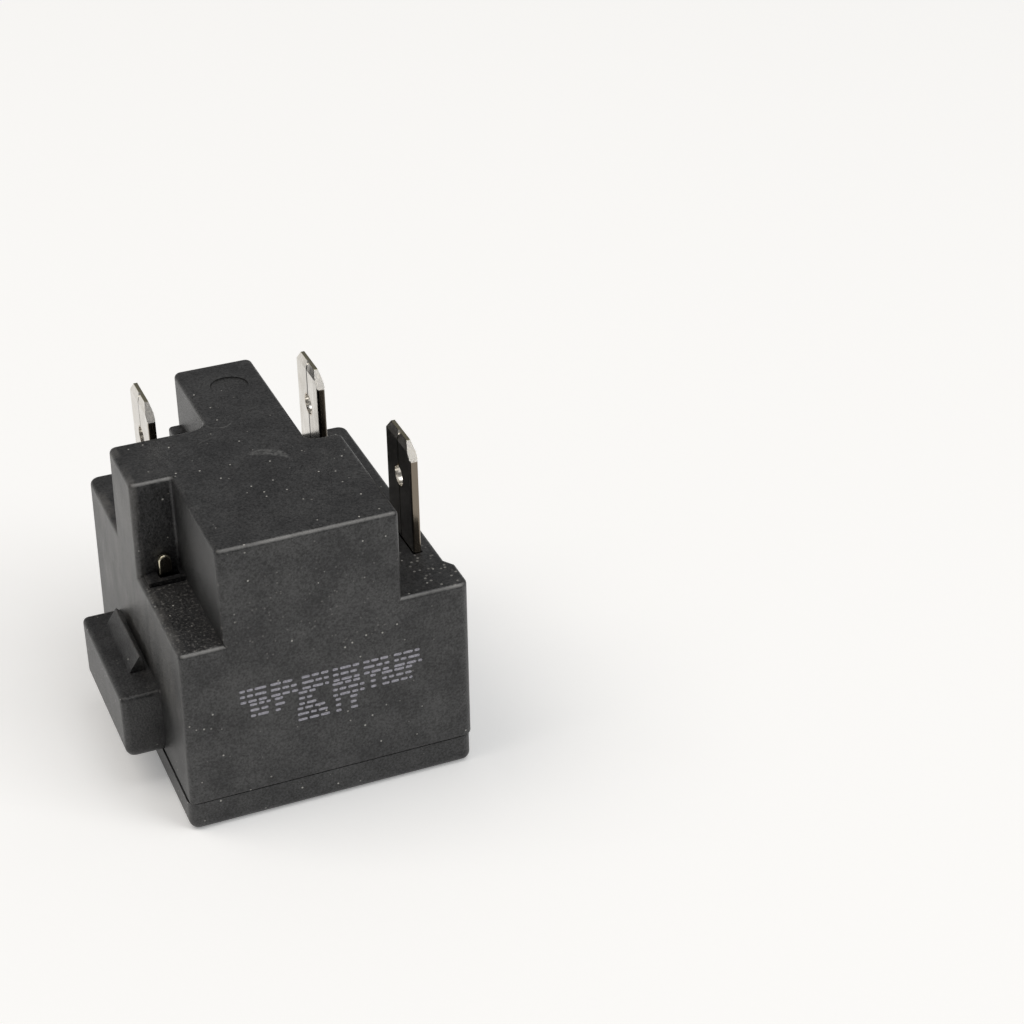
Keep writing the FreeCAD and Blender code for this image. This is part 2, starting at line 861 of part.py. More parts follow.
def lead_boxes():
    """The triac's three flat leads."""
    leads = []
    for i in (-1, 0, 1):
        x = block_middle + i * lead_pitch
        low = triac_foot - lead_length
        high = triac_foot + lead_inside
        leads.append(box(x - lead_width / 2, x + lead_width / 2, lead_front, lead_back, low, high))
    return leads


def triac_hole():
    """The fixing hole through the triac's body and plate."""
    z = triac_top - triac_hole_from_top
    rear = triac_body_front + triac_thickness
    return rod_y(triac_hole_diameter / 2, triac_front - past, rear + past, block_middle, z)


def triac_body():
    """The triac's moulded body, with its leads' places cut out of it."""
    left = block_middle - triac_width / 2
    right = block_middle + triac_width / 2
    body_back = triac_body_front + triac_thickness
    body = box(left, right, triac_body_front, body_back, triac_foot, triac_top)
    rear = [edge for edge in body.Edges if all(abs(v.Y - body_back) < 0.001 for v in edge.Vertexes)]
    return body.makeChamfer(triac_edge, rear).cut(lead_boxes() + [triac_hole()])


def triac_back_plate():
    """The metal mounting face of the triac, towards the housing's front wall."""
    left = block_middle - triac_width / 2 + triac_plate_margin
    right = block_middle + triac_width / 2 - triac_plate_margin
    foot = triac_foot + triac_plate_margin
    plate = box(left, right, triac_front, triac_body_front, foot, triac_top)
    return plate.cut(triac_hole())


def pilot_thermistor():
    """The small pill that fires the triac."""
    pill = rod_x(pilot_diameter / 2, pilot_left, pilot_right, pilot_y, rivet_z)
    rims = [edge for edge in pill.Edges if len(edge.Vertexes) == 1]
    return pill.makeFillet(disc_edge_radius, rims)


def gate_contact():
    """The leaf from the triac's gate lead to the pill's left face."""
    far_end = pilot_y + pilot_diameter / 2 - pilot_strip_margin
    path = [(gate_contact_x, lead_front), (gate_contact_x, far_end)]
    return bent_strip(path, contact_sheet, bus_foot, bus_top)


def pilot_contact():
    """The leaf from the pill's right face to the run strap."""
    x = pilot_right + touch_gap + contact_sheet / 2
    near_end = pilot_y - pilot_diameter / 2 + pilot_strip_margin
    far_end = pilot_y + pilot_diameter / 2 - pilot_strip_margin
    strap_x = run_strap_left - contact_sheet / 2
    path = [(x, near_end), (x, far_end), (strap_x, far_end), (strap_x, far_end - contact_foot)]
    return bent_strip(path, contact_sheet, bus_foot, bus_top)


nodes = {
    "housing": housing(),
    "base_cover": base_cover(),
    "left_tab_terminal": tab_terminal(left_tab_x, left_tab_y, socket_y),
    "middle_tab_terminal": tab_terminal(middle_tab_x, middle_tab_y, socket_y),
    "right_tab_terminal": tab_terminal(right_tab_x, right_tab_y),
    "test_terminal": test_terminal(),
    "start_pin_socket": pin_socket(start_pin_x, left_tab_x + tab_thickness, -1),
    "run_pin_socket": pin_socket(run_pin_x, middle_tab_x, 1),
    "start_socket_clip": socket_clip(start_pin_x),
    "run_socket_clip": socket_clip(run_pin_x),
    "start_strap": start_strap(),
    "run_strap": run_strap(),
    "left_rivet": rivet(left_tab_x - strap_sheet, left_tab_x + tab_thickness + socket_sheet, socket_y),
    "middle_rivet": rivet(
        middle_tab_x - socket_sheet,
        middle_tab_x + tab_thickness + strap_sheet,
        socket_y,
    ),
    "ptc_disc": ptc_disc(),
    "start_contact": start_contact(),
    "run_contact": run_contact(),
    "left_insulator": insulator(chamber_left + sheet_gap),
    "right_insulator": insulator(chamber_right - sheet_gap - sheet_thickness),
    "triac_body": triac_body(),
    "triac_back_plate": triac_back_plate(),
    "triac_leads": Part.makeCompound(lead_boxes()),
    "pilot_thermistor": pilot_thermistor(),
    "gate_contact": gate_contact(),
    "pilot_contact": pilot_contact(),
}

os.makedirs("parts", exist_ok=True)
to_origin = Vector(-right_side / 2, -back / 2, 0)
for name, shape in nodes.items():
    shape = shape.copy()
    shape.translate(to_origin)
    shape.exportStep(f"parts/{name}.step")
    print(f"{name:22s} valid {shape.isValid()} solids {len(shape.Solids)} volume {shape.Volume:9.2f}")
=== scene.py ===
import bpy
import numpy as np
from mathutils import Matrix, Vector


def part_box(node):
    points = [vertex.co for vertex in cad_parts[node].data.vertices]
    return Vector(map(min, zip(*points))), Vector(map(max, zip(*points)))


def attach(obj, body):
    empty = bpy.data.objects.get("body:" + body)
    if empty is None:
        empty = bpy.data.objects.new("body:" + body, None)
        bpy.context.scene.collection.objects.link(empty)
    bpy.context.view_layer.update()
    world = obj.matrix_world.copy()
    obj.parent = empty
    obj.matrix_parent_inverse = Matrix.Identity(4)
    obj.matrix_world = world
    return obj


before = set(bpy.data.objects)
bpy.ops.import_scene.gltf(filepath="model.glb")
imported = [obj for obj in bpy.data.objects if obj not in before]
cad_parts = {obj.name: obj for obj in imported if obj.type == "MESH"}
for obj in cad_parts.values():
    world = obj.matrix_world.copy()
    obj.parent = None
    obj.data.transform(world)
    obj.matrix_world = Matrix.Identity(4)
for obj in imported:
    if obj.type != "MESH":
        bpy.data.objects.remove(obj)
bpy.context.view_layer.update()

mm = 0.001


# Case: the moulded housing, in black glass-filled PBT, a stiff polyester that stands heat.
# Its steel mould was spark-eroded, so the skin is finely pitted, and it is sold as it drops
# from the mould, with a scuff or two and some dust.

def linear(code):
    """An sRGB hex value as linear red, green, blue and alpha: each channel to the power 2.4
    above the short straight foot of the curve."""
    srgb = np.array([int(code[i:i + 2], 16) for i in (1, 3, 5)]) / 255
    values = np.where(srgb <= 0.04045, srgb / 12.92, ((srgb + 0.055) / 1.055) ** 2.4)
    return (*values.tolist(), 1.0)


def material(name, sockets):
    """A new material with its uniform numbers and colours set on the shader's own sockets."""
    made = bpy.data.materials.new(name)
    made.use_nodes = True
    shader = made.node_tree.nodes["Principled BSDF"]
    for socket, value in sockets.items():
        shader.inputs[socket].default_value = value
    return made, made.node_tree, shader


def add(tree, kind, inputs, **settings):
    """Adds one node with its settings; each input takes a number, a colour or a link."""
    node = tree.nodes.new(kind)
    for name, value in settings.items():
        setattr(node, name, value)
    for name, value in inputs.items():
        if isinstance(value, bpy.types.NodeSocket):
            tree.links.new(value, node.inputs[name])
        else:
            node.inputs[name].default_value = value
    return node


def dress(node, made):
    """Puts a material on a CAD node in place of the one it came with."""
    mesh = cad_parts[node].data
    mesh.materials.clear()
    mesh.materials.append(made)


def between(tree, value, low, high, soft):
    """One where a value lies between two limits, fading to nothing over a soft width."""
    half = (high - low) / 2
    off = add(tree, "ShaderNodeMath", {0: value, 1: (low + high) / 2}, operation="SUBTRACT")
    off = add(tree, "ShaderNodeMath", {0: off.outputs[0]}, operation="ABSOLUTE").outputs[0]
    return add(tree, "ShaderNodeMapRange", {
        "Value": off, "From Min": half + soft, "From Max": half,
    }).outputs["Result"]


def both(tree, *masks):
    """The product of several values; of masks, one only where all of them are one."""
    joined = masks[0]
    for mask in masks[1:]:
        product = add(tree, "ShaderNodeMath", {0: joined, 1: mask}, operation="MULTIPLY")
        joined = product.outputs[0]
    return joined


def facing(tree):
    """The three parts of the surface's direction, each from minus one to one."""
    geometry = add(tree, "ShaderNodeNewGeometry", {}).outputs
    return add(tree, "ShaderNodeSeparateXYZ", {"Vector": geometry["Normal"]}).outputs


def moulded_pbt(name):
    """Spark-eroded black PBT: a half-matt skin whose fine pits break up the light, with slow
    changes of tone where the glass fibres lie nearer the surface, pale dust in clusters, and a
    painted highlight along the upper front and back rims."""
    made, tree, shader = material(name, {"IOR": 1.56})
    place = add(tree, "ShaderNodeTexCoord", {}).outputs["Object"]
    # The real pits are about 0.05 mm across; they are drawn at 0.2 mm so that they show
    pit_size = 0.2 * mm
    flow_size = 3.5 * mm
    dust_spacing = 0.7 * mm
    cluster_size = 5 * mm
    grain = add(tree, "ShaderNodeTexNoise", {
        "Vector": place, "Scale": 1 / pit_size, "Detail": 3.0, "Roughness": 0.7,
    }).outputs["Fac"]
    flow = add(tree, "ShaderNodeTexNoise", {
        "Vector": place, "Scale": 1 / flow_size, "Detail": 5.0, "Roughness": 0.6,
    }).outputs["Fac"]
    flow_steps = add(tree, "ShaderNodeMapRange", {
        "Value": flow, "From Min": 0.3, "From Max": 0.7,
    }).outputs["Result"]
    resin = add(tree, "ShaderNodeMix", {
        0: flow_steps, 6: linear("#1d1d1e"), 7: linear("#2b2b2b"),
    }, data_type="RGBA").outputs[2]
    shade = add(tree, "ShaderNodeMapRange", {
        "Value": grain, "From Min": 0.36, "From Max": 0.64, "To Min": 0.1, "To Max": 2.0,
    }).outputs["Result"]
    resin = add(tree, "ShaderNodeMix", {
        0: 1.0, 6: resin, 7: shade,
    }, data_type="RGBA", blend_type="MULTIPLY").outputs[2]
    cells = add(tree, "ShaderNodeTexVoronoi", {
        "Vector": place, "Scale": 1 / dust_spacing,
    }).outputs
    speck = add(tree, "ShaderNodeMapRange", {
        "Value": cells["Distance"], "From Min": 0.15, "From Max": 0.09,
    }).outputs["Result"]
    chance = add(tree, "ShaderNodeSeparateColor", {"Color": cells["Color"]}).outputs["Red"]
    cluster = add(tree, "ShaderNodeTexNoise", {
        "Vector": place, "Scale": 1 / cluster_size, "Detail": 2.0,
    }).outputs["Fac"]
    luck = add(tree, "ShaderNodeMath", {0: chance, 1: cluster}, operation="ADD").outputs[0]
    dusty = add(tree, "ShaderNodeMapRange", {
        "Value": luck, "From Min": 1.2, "From Max": 1.42,
    }).outputs["Result"]
    colour = add(tree, "ShaderNodeMix", {
        0: both(tree, speck, dusty), 6: resin, 7: linear("#bab8b2"),
    }, data_type="RGBA").outputs[2]
    gloss = add(tree, "ShaderNodeMapRange", {
        "Value": grain, "From Min": 0.3, "From Max": 0.7, "To Min": 0.33, "To Max": 0.47,
    }).outputs["Result"]
    # Light that falls into a pit is lost, so the pits mirror less than the skin between them
    open_skin = add(tree, "ShaderNodeMath", {0: grain, 1: flow}, operation="ADD").outputs[0]
    mirror = add(tree, "ShaderNodeMapRange", {
        "Value": open_skin, "From Min": 0.8, "From Max": 1.2, "To Min": 0.39, "To Max": 0.61,
    }).outputs["Result"]
    relief = add(tree, "ShaderNodeBump", {
        "Height": grain, "Strength": 1.0, "Distance": 0.05 * mm,
    }).outputs["Normal"]
    # Upper rims along the front and back are painted pale in patches: a painted highlight that
    # stands for the lamp's shine on their rounded edges. They are where the surface leans
    # halfway between upright and level. The lug with its barb, which leans all over, and the
    # cover lie outside these limits, in mm.
    lean = facing(tree)
    halfway = add(tree, "ShaderNodeMath", {
        0: both(tree, lean["Y"], lean["Z"]),
    }, operation="ABSOLUTE").outputs[0]
    rim = add(tree, "ShaderNodeMapRange", {
        "Value": halfway, "From Min": 0.3, "From Max": 0.5, "To Max": 0.9,
    }).outputs["Result"]
    axes = add(tree, "ShaderNodeSeparateXYZ", {"Vector": place}).outputs
    beside_lug = between(tree, axes["X"], -13.2 * mm, 20 * mm, 0.1 * mm)
    above_cover = between(tree, axes["Z"], 5 * mm, 30 * mm, 0.1 * mm)
    patchy = add(tree, "ShaderNodeMapRange", {
        "Value": flow, "From Min": 0.35, "From Max": 0.6, "To Min": 0.45,
    }).outputs["Result"]
    painted_rim_highlight = both(tree, rim, beside_lug, above_cover, patchy)
    colour = add(tree, "ShaderNodeMix", {
        0: painted_rim_highlight, 6: colour, 7: linear("#868583"),
    }, data_type="RGBA").outputs[2]
    tree.links.new(colour, shader.inputs["Base Color"])
    tree.links.new(gloss, shader.inputs["Roughness"])
    tree.links.new(mirror, shader.inputs["Specular IOR Level"])
    tree.links.new(relief, shader.inputs["Normal"])
    return made, tree, shader, place, colour


case_pbt, tree, shader, place, colour = moulded_pbt("spark_eroded_black_pbt")
axes = add(tree, "ShaderNodeSeparateXYZ", {"Vector": place}).outputs

# Scuffs on the block's top, where another part in the bin has rubbed it. They are rings, each
# with its centre, its inner and outer radius and the limits in x and y that cut it to an arc,
# all in mm. The crescent is one round patch that lies outside another.
top = 28.9
edge = 0.2 * mm
line = 0.08 * mm
everywhere = (-40, 40)
crescent = (
    ((-0.34, -3.01), (0, 2.04), edge, everywhere, everywhere, 1.0),
    ((-2.84, -7.41), (6.2, 20), edge, everywhere, everywhere, 1.0),
)
large_arc = (((-2.2, 5.77), (1.19, 1.25), line, (-3.3, -1.1), (4.3, 5.4), 1.0),)
small_arc = (((-3.25, 0.37), (2.69, 2.75), line, (-5.2, -3.4), (2.2, 3.3), 0.5),)
scuff = 0.0
for rings in (crescent, large_arc, small_arc):
    mark = between(tree, axes[2], 28.8 * mm, 29 * mm, 0.01 * mm)
    for (x, y), (inner, outer), soft, across, along, strength in rings:
        far = add(tree, "ShaderNodeVectorMath", {
            0: place, 1: Vector((x, y, top)) * mm,
        }, operation="DISTANCE").outputs["Value"]
        mark = both(
            tree,
            mark,
            between(tree, far, inner * mm, outer * mm, soft),
            between(tree, axes[0], across[0] * mm, across[1] * mm, edge),
            between(tree, axes[1], along[0] * mm, along[1] * mm, edge),
            strength,
        )
    scuff = add(tree, "ShaderNodeMath", {0: scuff, 1: mark}, operation="MAXIMUM").outputs[0]
scratch_size = 0.3 * mm
scratchy = add(tree, "ShaderNodeTexNoise", {
    "Vector": place, "Scale": 1 / scratch_size, "Detail": 3.0,
}).outputs["Fac"]
broken = add(tree, "ShaderNodeMapRange", {
    "Value": scratchy, "From Min": 0.38, "From Max": 0.6, "To Min": 0.1, "To Max": 0.85,
}).outputs["Result"]
colour = add(tree, "ShaderNodeMix", {
    0: both(tree, scuff, broken), 6: colour, 7: linear("#5c5c5b"),
}, data_type="RGBA").outputs[2]

# The notch's floor came off the mould torn, with a dense sprinkle of pale pits
torn = both(
    tree,
    between(tree, axes[0], -12.85 * mm, -9.0 * mm, 0.3 * mm),
    between(tree, axes[1], -16.3 * mm, -4.4 * mm, 0.5 * mm),
    between(tree, axes[2], 19.1 * mm, 19.3 * mm, 0.01 * mm),
)
torn_pit_size = 0.32 * mm
pits = add(tree, "ShaderNodeTexNoise", {
    "Vector": place, "Scale": 1 / torn_pit_size, "Detail": 3.0, "Roughness": 0.7,
}).outputs["Fac"]
pitted = add(tree, "ShaderNodeMapRange", {
    "Value": pits, "From Min": 0.54, "From Max": 0.68, "To Max": 0.8,
}).outputs["Result"]
colour = add(tree, "ShaderNodeMix", {
    0: both(tree, torn, pitted), 6: colour, 7: linear("#7d7b78"),
}, data_type="RGBA").outputs[2]

# More fine dust clings to the upper middle of the front face, where it hardly shows, and to
# the shoulder's top
grain_spacing = 0.5 * mm
grains = add(tree, "ShaderNodeTexVoronoi", {
    "Vector": place, "Scale": 1 / grain_spacing,
}).outputs
small = add(tree, "ShaderNodeMapRange", {
    "Value": grains["Distance"], "From Min": 0.32, "From Max": 0.18,
}).outputs["Result"]
chosen = add(tree, "ShaderNodeSeparateColor", {"Color": grains["Color"]}).outputs["Green"]
few = add(tree, "ShaderNodeMapRange", {
    "Value": chosen, "From Min": 0.55, "From Max": 0.8, "To Max": 0.9,
}).outputs["Result"]
middle_of_front = both(
    tree,
    between(tree, axes[0], -6.5 * mm, 5.0 * mm, 3.0 * mm),
    between(tree, axes[1], -18.0 * mm, -15.0 * mm, 0.3 * mm),
    between(tree, axes[2], 17.5 * mm, 24.0 * mm, 3.0 * mm),
)
shoulder_strength = 0.45
shoulder_top = both(
    tree,
    between(tree, axes[0], 10.0 * mm, 20.0 * mm, 1.0 * mm),
    between(tree, axes[1], -15.5 * mm, -8.0 * mm, 1.0 * mm),
    between(tree, axes[2], 18.0 * mm, 22.0 * mm, 0.1 * mm),
    shoulder_strength,
)
gathers = add(tree, "ShaderNodeMath", {
    0: middle_of_front, 1: shoulder_top,
}, operation="MAXIMUM").outputs[0]
colour = add(tree, "ShaderNodeMix", {
    0: both(tree, small, few, gathers), 6: colour, 7: linear("#c4c1ba"),
}, data_type="RGBA").outputs[2]

# The left walls are painted paler in upright streaks: a painted reflection of the bright table
# beside them.
upright = add(tree, "ShaderNodeMapping", {
    "Vector": place, "Scale": (1.0, 1.0, 0.5),
}).outputs["Vector"]
streak_width = 2.2 * mm
streaks = add(tree, "ShaderNodeTexNoise", {
    "Vector": upright, "Scale": 1 / streak_width, "Detail": 5.0, "Roughness": 0.55,
}).outputs["Fac"]
painted_reflection = add(tree, "ShaderNodeMapRange", {
    "Value": streaks, "From Min": 0.35, "From Max": 0.7, "To Max": 0.5,
}).outputs["Result"]
left_walls = both(
    tree,
    between(tree, axes[0], -14.0 * mm, -12.3 * mm, 0.2 * mm),
    between(tree, axes[2], 12.0 * mm, 28.3 * mm, 3.0 * mm),
    between(tree, axes[1], -14.0 * mm, 12.0 * mm, 2.0 * mm),
)
colour = add(tree, "ShaderNodeMix", {
    0: both(tree, left_walls, painted_reflection), 6: colour, 7: linear("#6c6a67"),
}, data_type="RGBA").outputs[2]
tree.links.new(colour, shader.inputs["Base Color"])
dress("housing", case_pbt)


# Base cover: the plate that closes the case underneath, moulded in the same black PBT and
# snapped in. It shares the case's skin, without the scuffs that only the top gets.

cover_pbt = moulded_pbt("spark_eroded_black_pbt_cover")[0]
dress("base_cover", cover_pbt)


# Printed marks: three rows of grey ink on the front face, sprayed on after assembly. Plain
# broken dashes stand for them. Ink-jet ink dries as a thin, slightly domed film.

ink_rise = 0.012 * mm
ink_sunk = 0.01 * mm
dash_radius = 0.15 * mm
front_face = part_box("housing")[0].y


def ink_film(name, middles, lengths, radius):
    """One mesh of many dashes on the front face. A dash's outline is a straight line with
    half circles at both ends; rings of it shrink inwards while their height follows a
    quarter circle, and a flat cap closes the innermost ring."""
    shrink = np.array([1.0, 0.93, 0.78, 0.5])
    angles = np.linspace(0, 2 * np.pi, 16, endpoint=False) + np.pi / 16
    half = lengths[:, None, None] / 2
    x = middles[:, 0, None, None] + np.sign(np.cos(angles)) * half
    x = x + radius * shrink[None, :, None] * np.cos(angles)
    z = middles[:, 1, None, None] + radius * shrink[None, :, None] * np.sin(angles)
    z = z + 0 * x
    height = np.sqrt(1 - shrink ** 2) * (ink_rise + ink_sunk) - ink_sunk
    y = front_face - height[None, :, None] + 0 * x
    points = np.stack([x, y, z], axis=-1).reshape(-1, 3)
    count, rings, around = len(lengths), len(shrink), len(angles)
    index = np.arange(count * rings * around).reshape(count, rings, around)
    onward = np.roll(index, -1, axis=2)
    walls = np.stack([index[:, :-1], onward[:, :-1], onward[:, 1:], index[:, 1:]], axis=-1)
    faces = walls.reshape(-1, 4).tolist() + index[:, -1].tolist()
    mesh = bpy.data.meshes.new(name)
    mesh.from_pydata(points.tolist(), [], faces)
    piece = bpy.data.objects.new(name, mesh)
    bpy.context.scene.collection.objects.link(piece)
    return piece


# Each row is a few groups of dashes: the left and right end of each, and the row's middle
# height, in mm. A group is three lines of dashes, line_pitch apart. Round ends make a dash
# longer than its straight part, which is why that is drawn shorter by round_ends.
line_pitch = 0.6
shortest, longest = 0.45, 1.1
round_ends = 0.25
gap = 0.18
least_left = 0.3
least_straight = 0.05
rows = (
    (((-7.94, -5.5), (-5.1, -2.6), (-2.2, 0.3), (0.7, 3.2), (3.6, 6.1), (6.5, 9.19)), 13.45),
    (((-7.1, -5.2), (-4.8, -3.9), (-2.6, -1.0), (0.6, 3.6), (4.2, 4.7), (5.3, 8.2)), 11.85),
    (((-2.8, 0.2), (0.8, 1.3), (2.2, 2.87)), 10.15),
)
draw = np.random.default_rng(11)
middles, lengths = [], []
for groups, height in rows:
    for left, right in groups:
        for lift in (-line_pitch, 0.0, line_pitch):
            start = left
            while start < right - least_left:
                end = min(start + draw.uniform(shortest, longest), right)
                middles.append(((start + end) / 2, height + lift))
                lengths.append(max(end - start - round_ends, least_straight))
                start = end + gap
marks = ink_film(
    "printed_marks", np.array(middles) * mm, np.array(lengths) * mm, dash_radius
)
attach(marks, "root")

ink, tree, shader = material("sprayed_grey_ink", {"Roughness": 0.6, "IOR": 1.5})
place = add(tree, "ShaderNodeTexCoord", {}).outputs["Object"]
# Drops of ink leave thin places between them
drop_spacing = 0.12 * mm
drops = add(tree, "ShaderNodeTexNoise", {
    "Vector": place, "Scale": 1 / drop_spacing, "Detail": 1.0,
}).outputs["Fac"]
cover_of_ink = add(tree, "ShaderNodeMapRange", {
    "Value": drops, "From Min": 0.35, "From Max": 0.6,
}).outputs["Result"]
colour = add(tree, "ShaderNodeMix", {
    0: cover_of_ink, 6: linear("#7c7b84"), 7: linear("#b4b2bc"),
}, data_type="RGBA").outputs[2]
tree.links.new(colour, shader.inputs["Base Color"])
marks.data.materials.append(ink)


# Tab terminals: blades folded from tin-plated brass strip 0.4 mm thick and pressed down
# through the case from inside. Tin over rolled strip is half bright, with fine lines along
# the blade, duller patches, and a warm tone where the fold has thinned the tin.

def rolled_strip(name, bright, dull, along, line_width, roughness, relief):
    """Rolled or drawn metal: lines run along one axis, because the noise is stretched forty
    times that way, and slow patches change the colour between bright and dull."""
    made, tree, shader = material(name, {"Metallic": 1.0})
    place = add(tree, "ShaderNodeTexCoord", {}).outputs["Object"]
    stretch = 40
    patch_size = 2.5 * mm
    squeeze = [1.0, 1.0, 1.0]
    squeeze[along] = 1 / stretch
    drawn = add(tree, "ShaderNodeMapping", {
        "Vector": place, "Scale": squeeze,
    }).outputs["Vector"]
    lines = add(tree, "ShaderNodeTexNoise", {
        "Vector": drawn, "Scale": 1 / line_width, "Detail": 2.0, "Roughness": 0.6,
    }).outputs["Fac"]
    patches = add(tree, "ShaderNodeTexNoise", {
        "Vector": place, "Scale": 1 / patch_size, "Detail": 4.0, "Roughness": 0.6,
    }).outputs["Fac"]
    mixed = add(tree, "ShaderNodeMath", {0: lines, 1: patches}, operation="ADD").outputs[0]
    age = add(tree, "ShaderNodeMapRange", {
        "Value": mixed, "From Min": 0.8, "From Max": 1.25,
    }).outputs["Result"]
    colour = add(tree, "ShaderNodeMix", {
        0: age, 6: linear(dull), 7: linear(bright),
    }, data_type="RGBA").outputs[2]
    low, high = roughness
    gloss = add(tree, "ShaderNodeMapRange", {
        "Value": mixed, "From Min": 0.8, "From Max": 1.25, "To Min": high, "To Max": low,
    }).outputs["Result"]
    bumps = add(tree, "ShaderNodeBump", {
        "Height": lines, "Strength": 0.4, "Distance": relief,
    }).outputs["Normal"]
    tree.links.new(colour, shader.inputs["Base Color"])
    tree.links.new(gloss, shader.inputs["Roughness"])
    tree.links.new(bumps, shader.inputs["Normal"])
    return made, tree, shader, place, colour


# Rolling lines are about 0.02 mm apart; drawn at 0.1 mm so that they show. Each blade has its
# own middle, where the two halves of the folded strip meet in a groove on the left side that is
# painted dark as shade.
# Its row says the middle's y, half the seam's width, how strong the seam's painted shade is,
# and the colour of the painted reflection along the blade's front edge. Lengths are in mm.
blades = (
    ("left_tab_terminal", 10.175, 0.07, 0.25, "#8b8275"),
    ("middle_tab_terminal", 9.975, 0.13, 1.0, "#4e4840"),
    ("right_tab_terminal", -6.525, 0.08, 0.6, "#7d7468"),
)
hole_height = 26.5
line_width = 0.1 * mm
for node, middle, seam_half, seam_shade_strength, front_edge_reflection_colour in blades:
    tab_tin, tree, shader, place, colour = rolled_strip(
        node.replace("terminal", "rolled_brass_tin_plated"),
        "#dddad5", "#c3beb5", 2, line_width, (0.12, 0.22), 0.001 * mm,
    )
    axes = add(tree, "ShaderNodeSeparateXYZ", {"Vector": place}).outputs
    # Painted shade: the groove where the two halves meet is painted dark.
    seam_shade = both(
        tree,
        between(tree, facing(tree)["X"], -1.1, -0.6, 0.1),
        between(tree, axes[1], (middle - seam_half) * mm, (middle + seam_half) * mm, 0.05 * mm),
        between(tree, axes[2], 0, 30.6 * mm, 0.1 * mm),
        seam_shade_strength,
    )
    # The punch drags the tin off the hole's rim and leaves brown brass
    flat = add(tree, "ShaderNodeCombineXYZ", {"Y": axes[1], "Z": axes[2]}).outputs[0]
    far = add(tree, "ShaderNodeVectorMath", {
        0: flat, 1: Vector((0, middle, hole_height)) * mm,
    }, operation="DISTANCE").outputs["Value"]
    rim = between(tree, far, 1.06 * mm, 1.1 * mm, 0.03 * mm)
    colour = add(tree, "ShaderNodeMix", {
        0: rim, 6: colour, 7: linear("#8a6c3c"),
    }, data_type="RGBA").outputs[2]
    # The blade's front edge is painted grey brown: a painted reflection of the dark case in
    # front of it
    front_edge_reflection = between(tree, axes[1], (middle - 3.4) * mm, (middle - 3.12) * mm, 0.05 * mm)
    below_corner = between(tree, axes[2], 0, 29.4 * mm, 0.1 * mm)
    colour = add(tree, "ShaderNodeMix", {
        0: both(tree, front_edge_reflection, below_corner), 6: colour, 7: linear(front_edge_reflection_colour),
    }, data_type="RGBA").outputs[2]
    # The sheared tip is bare too, dulled to olive brown
    sheared = between(tree, axes[2], 31.07 * mm, 31.2 * mm, 0.02 * mm)
    colour = add(tree, "ShaderNodeMix", {
        0: sheared, 6: colour, 7: linear("#a09a83"),
    }, data_type="RGBA").outputs[2]
    colour = add(tree, "ShaderNodeMix", {
        0: seam_shade, 6: colour, 7: linear("#2e2822"),
    }, data_type="RGBA").outputs[2]
    tree.links.new(colour, shader.inputs["Base Color"])
    dress(node, tab_tin)


# Test terminal: a narrow strip blanked from the same plated brass, whose rounded tip stands in
# the notch for a meter's probe. Its face towards the front is painted dark, a painted
# reflection of the dark case it looks at, so only its edges show the bright tin.

test_tin, tree, shader, place, colour = rolled_strip(
    "blanked_brass_tin_plated", "#f4eed9", "#d8cfb4", 2, 0.1 * mm, (0.15, 0.28), 0.003 * mm
)
# Painted reflection: the side that faces forward is darkened.
face = between(tree, facing(tree)["Y"], -1.1, -0.93, 0.05)
colour = add(tree, "ShaderNodeMix", {
    0: face, 6: colour, 7: linear("#6f6a60"),
}, data_type="RGBA").outputs[2]
tree.links.new(colour, shader.inputs["Base Color"])
dress("test_terminal", test_tin)


# Pin sockets: sleeves rolled from tin-plated brass, which push onto the compressor's pins.
# Rolling and sliding on pins leave them dull, with lines along the sleeve.

socket_tin = rolled_strip(
    "rolled_sleeve_tin_plated", "#d9d2c0", "#a09682", 2, 0.12 * mm, (0.3, 0.45), 0.006 * mm
)[0]
for node in ("start_pin_socket", "run_pin_socket"):
    dress(node, socket_tin)


# Socket clips and contact leaves: springs of bright rolled steel strip, bent cold. They keep
# the mill's fine lines and a slightly blue-grey colour.

clip_steel = rolled_strip(
    "rolled_spring_steel", "#c3c4c6", "#8d8e90", 0, 0.1 * mm, (0.22, 0.36), 0.004 * mm
)[0]
for node in ("start_socket_clip", "run_socket_clip"):
    dress(node, clip_steel)
leaf_steel = rolled_strip(
    "rolled_stainless_leaf", "#cfcbc2", "#9c988f", 1, 0.1 * mm, (0.2, 0.34), 0.004 * mm
)[0]
for node in ("start_contact", "run_contact", "gate_contact", "pilot_contact"):
    dress(node, leaf_steel)


# Straps and rivets: plain brass strip that joins the terminals, and turned brass rivets
# closed cold by a punch. Bare brass is warm yellow, browned a little in patches.

strap_brass = rolled_strip(
    "plain_rolled_brass", "#e3c078", "#a9854a", 1, 0.12 * mm, (0.25, 0.42), 0.006 * mm
)[0]
for node in ("start_strap", "run_strap"):
    dress(node, strap_brass)
rivet_brass = rolled_strip(
    "turned_brass", "#dfba72", "#a8844b", 0, 0.08 * mm, (0.22, 0.38), 0.004 * mm
)[0]
for node in ("left_rivet", "middle_rivet"):
    dress(node, rivet_brass)


# Thermistors: discs of pressed and sintered barium titanate. Their flat faces are sprayed
# with aluminium, which gives a dry grey grain of small splashes.

